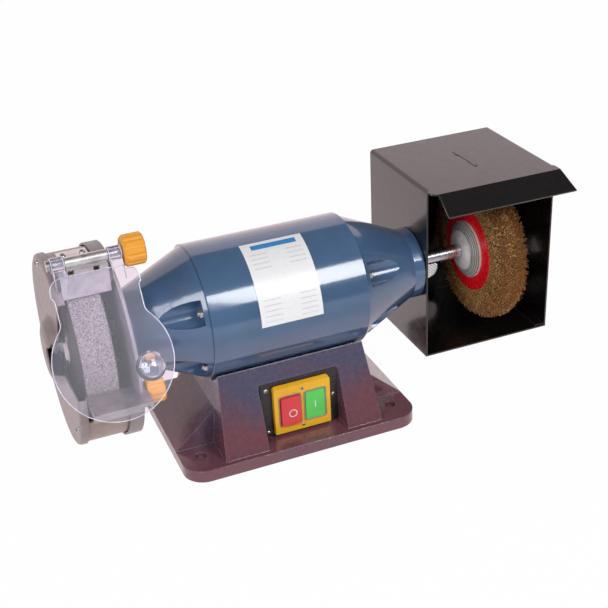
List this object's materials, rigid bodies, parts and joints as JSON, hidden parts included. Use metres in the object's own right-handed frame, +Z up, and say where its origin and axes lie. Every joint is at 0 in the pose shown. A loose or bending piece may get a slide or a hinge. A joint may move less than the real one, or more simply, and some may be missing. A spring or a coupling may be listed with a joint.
{
  "type": "bench grinder",
  "caption": "Bench grinder with a guarded grinding wheel, tool rest and clear eye shield on the left and a wire brush in a folded sheet hood on the right.",
  "frame": {"origin": "centre of the base's bolt pattern, on the face that stands on the bench", "axes": "+X along the motor shaft from the grinding wheel towards the brush, +Y away from the operator, +Z up"},
  "size_m": [0.6835, 0.2848, 0.3234],
  "materials": {
    "base_paint": "semi-gloss enamel",
    "enamel": "gloss enamel",
    "guard_paint": "satin enamel",
    "hood_paint": "gloss enamel",
    "steel": "brushed",
    "zinc": "zinc plated",
    "iron": "machined",
    "copper": "varnished winding wire",
    "stone": "bonded grit",
    "brass": "wire bristles",
    "red": "gloss",
    "disc_red": "gloss enamel",
    "orange": "gloss",
    "yellow": "gloss",
    "green": "gloss",
    "black": "matt",
    "label": "blank foil",
    "clear": "clear sheet"
  },
  "bodies": {
    "frame": {"base_casting": "base_paint", "bottom_cover": "steel", "bottom_screws": "zinc", "motor_shell": "enamel", "rating_label": "label", "left_end_bell": "enamel", "right_end_bell": "enamel", "tie_rods": "zinc", "stator_core": "iron", "stator_windings": "copper", "bearing_outer_rings": "steel", "guard_body": "guard_paint", "guard_rim": "guard_paint", "outer_cover": "guard_paint", "cover_screws": "zinc", "guard_bolts": "zinc", "shield_bracket": "zinc", "bracket_screws": "zinc", "brush_hood": "hood_paint", "hood_back": "hood_paint", "hood_screws": "zinc", "switch_plate": "black", "switch_body": "black", "switch_frame": "yellow", "switch_screws": "zinc"},
    "rotor": {"motor_shaft": "steel", "rotor_core": "steel", "bearing_inner_rings": "steel", "grinding_wheel": "stone", "wheel_flanges": "iron", "wheel_nut": "zinc", "brush_wires": "brass", "brush_discs": "disc_red", "brush_flanges": "zinc", "brush_nut": "zinc"},
    "shield": {"eye_shield": "clear", "shield_lens": "clear"},
    "shield_clamp": {"shield_rod": "zinc", "shield_knob": "orange"},
    "rest": {"tool_rest": "steel"},
    "rest_clamp": {"rest_bolt": "zinc", "rest_knob": "orange"},
    "stop": {"stop_button": "red"},
    "start": {"start_button": "green"}
  },
  "joints": [
    {"name": "rotor_spin", "type": "hinge", "parent": "frame", "child": "rotor", "pos_m": [0, 0, 0.175], "axis": [1, 0, 0], "continuous": true},
    {"name": "shield_tilt", "type": "hinge", "parent": "frame", "child": "shield", "pos_m": [-0.233, -0.06, 0.305], "axis": [-1, 0, 0], "range_deg": [0, 100]},
    {"name": "shield_clamp_turn", "type": "hinge", "parent": "frame", "child": "shield_clamp", "pos_m": [-0.233, -0.06, 0.305], "axis": [1, 0, 0], "range_deg": [0, 180]},
    {"name": "rest_slide", "type": "slide", "parent": "frame", "child": "rest", "axis": [0, -1, 0], "range_m": [-0.002, 0.012]},
    {"name": "rest_clamp_turn", "type": "hinge", "parent": "frame", "child": "rest_clamp", "pos_m": [-0.19, -0.10798, 0.147], "axis": [1, 0, 0], "range_deg": [0, 180]},
    {"name": "stop_press", "type": "slide", "parent": "frame", "child": "stop", "axis": [0, 1, 0], "range_m": [0, 0.003], "stiffness_N_per_m": 400},
    {"name": "start_press", "type": "slide", "parent": "frame", "child": "start", "axis": [0, 1, 0], "range_m": [0, 0.003], "stiffness_N_per_m": 400}
  ]
}
